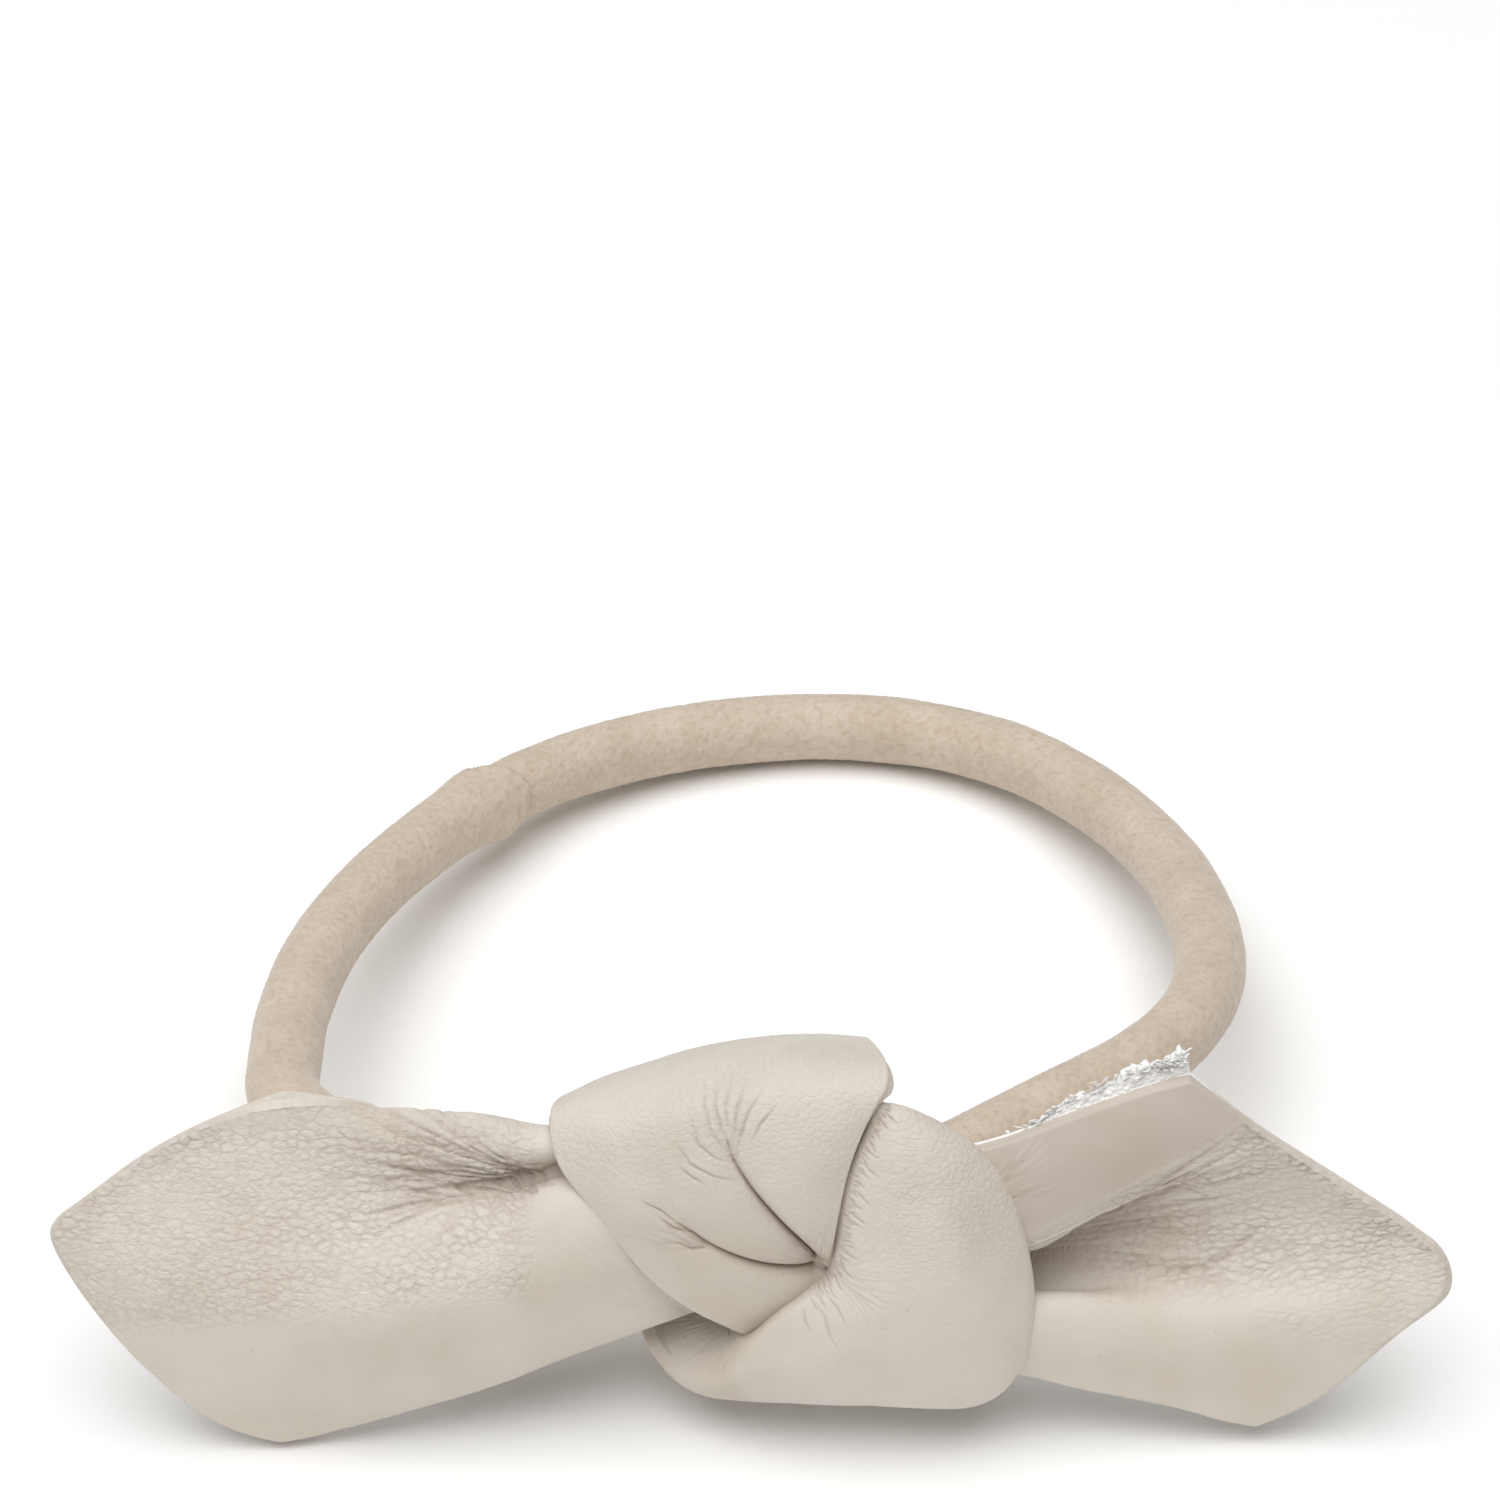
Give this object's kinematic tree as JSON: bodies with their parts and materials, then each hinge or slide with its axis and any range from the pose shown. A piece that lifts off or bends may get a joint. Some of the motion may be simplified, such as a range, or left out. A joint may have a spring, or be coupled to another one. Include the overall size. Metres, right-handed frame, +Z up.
{
  "type": "knotted hair elastic",
  "caption": "Small covered elastic loop for a ponytail with one strip of soft leather tied on it in a flat overhand knot, its two pointed ends spread like a bow.",
  "frame": {"origin": "under the middle of the whole object, on the surface it lies on", "axes": "+X along the bow to its right tail, +Y from the bow through the loop to its back, +Z up"},
  "size_m": [0.082, 0.0728, 0.0246],
  "materials": {
    "sleeve": "brushed knit, short nap",
    "strand": "plain",
    "glue": "set glue",
    "leather": "pebbled and smooth, raw edges"
  },
  "bodies": {
    "elastic": {"sleeve_front": "sleeve", "strand_1_front": "strand", "strand_2_front": "strand", "strand_3_front": "strand", "strand_4_front": "strand", "strand_5_front": "strand", "strand_6_front": "strand", "strand_7_front": "strand", "sleeve_right": "sleeve", "sleeve_left": "sleeve", "strand_1_right": "strand", "strand_2_right": "strand", "strand_3_right": "strand", "strand_4_right": "strand", "strand_5_right": "strand", "strand_6_right": "strand", "strand_7_right": "strand", "strand_1_left": "strand", "strand_2_left": "strand", "strand_3_left": "strand", "strand_4_left": "strand", "strand_5_left": "strand", "strand_6_left": "strand", "strand_7_left": "strand"},
    "elastic_back": {"sleeve_back": "sleeve", "strand_1_back": "strand", "strand_2_back": "strand", "strand_3_back": "strand", "strand_4_back": "strand", "strand_5_back": "strand", "strand_6_back": "strand", "strand_7_back": "strand", "splice_glue": "glue"},
    "knot": {"back_band": "leather", "left_run": "leather", "right_run": "leather", "over_wrap": "leather", "turn_wrap": "leather"},
    "tail_left": {"tail_left": "leather"},
    "tail_right": {"tail_right": "leather"}
  },
  "joints": [
    {"name": "loop_stretch", "type": "slide", "parent": "elastic", "child": "elastic_back", "axis": [0, 0.9849, -0.1733], "range_m": [0, 0.045], "stiffness_N_per_m": 60, "deforming": ["sleeve_right", "sleeve_left", "strand_1_right", "strand_2_right", "strand_3_right", "strand_4_right", "strand_5_right", "strand_6_right", "strand_7_right", "strand_1_left", "strand_2_left", "strand_3_left", "strand_4_left", "strand_5_left", "strand_6_left", "strand_7_left"]},
    {"name": "bow_turn", "type": "hinge", "parent": "elastic", "child": "knot", "pos_m": [0, -0.02506, 0.01267], "axis": [1, 0, 0], "range_deg": [-45, 60]},
    {"name": "tail_left_bend", "type": "hinge", "parent": "knot", "child": "tail_left", "pos_m": [-0.01185, -0.02969, 0.01455], "axis": [0, 0.3746, 0.9272], "range_deg": [-8, 35], "stiffness_Nm_per_rad": 0.004},
    {"name": "tail_right_bend", "type": "hinge", "parent": "knot", "child": "tail_right", "pos_m": [0.01705, -0.02932, 0.01439], "axis": [0, -0.3746, -0.9272], "range_deg": [-12, 35], "stiffness_Nm_per_rad": 0.004}
  ]
}
